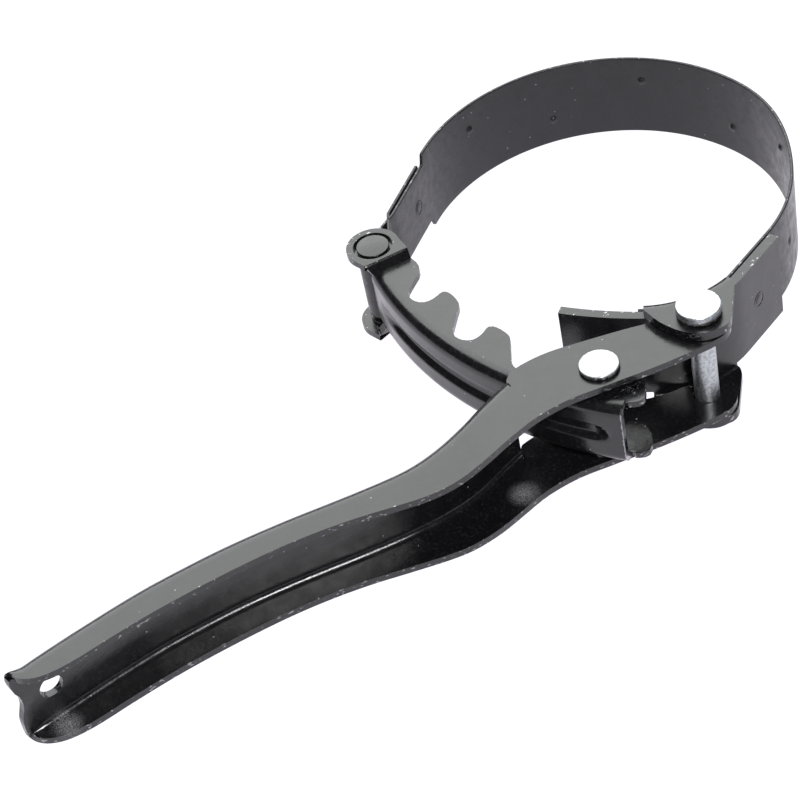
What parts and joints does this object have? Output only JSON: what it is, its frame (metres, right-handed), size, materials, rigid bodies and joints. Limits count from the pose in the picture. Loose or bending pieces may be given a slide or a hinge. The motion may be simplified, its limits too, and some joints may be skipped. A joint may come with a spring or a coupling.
{
  "type": "oil filter wrench",
  "caption": "Hand wrench for spin-on oil filters: a sprung steel band loop, closed by a toothed adjusting rack and tightened by swinging a channel handle.",
  "frame": {"origin": "under the middle of the whole wrench, level with its lowest rivet head, as it lies on a bench", "axes": "+X from the grip towards the pivot, +Y from the handle towards the filter loop, +Z along the rivets and the filter's axis, upwards"},
  "size_m": [0.246, 0.128, 0.0374],
  "materials": {
    "black_enamel": "satin black enamel, chipped to bright metal along the sheared edges",
    "dark_spring_steel": "thin satin black coating on spring steel, faint purple-grey sheen",
    "bright_zinc": "bright zinc plate, slightly mottled on the shanks"
  },
  "bodies": {
    "root": {"bracket": "black_enamel", "band_fixed_half": "dark_spring_steel", "pivot_rivet": "bright_zinc", "band_rivet": "dark_spring_steel"},
    "handle_lever": {"handle": "black_enamel", "latch_rivet": "bright_zinc"},
    "band_free": {"band_free_half": "dark_spring_steel", "tongue_rivet": "dark_spring_steel"},
    "rack": {"toothed_rack": "black_enamel", "hinge_rivet": "black_enamel"}
  },
  "joints": [
    {"name": "handle_swing", "type": "hinge", "parent": "root", "child": "handle_lever", "pos_m": [0.06304, -0.0512, 0.0184], "axis": [0, 0, 1], "range_deg": [-6, 18]},
    {"name": "band_flex", "type": "hinge", "parent": "root", "child": "band_free", "pos_m": [0.09744, 0.05682, 0.0184], "axis": [0, 0, 1], "range_deg": [-1.8, 5.4]},
    {"name": "rack_swing", "type": "hinge", "parent": "band_free", "child": "rack", "pos_m": [0.01104, 0.0248, 0.0184], "axis": [0, 0, 1], "range_deg": [-7.5, 2.6]}
  ],
  "couplings": [
    {"joint": "band_flex", "follows": "handle_swing", "ratio": 0.295},
    {"joint": "rack_swing", "follows": "handle_swing", "ratio": -0.41}
  ]
}
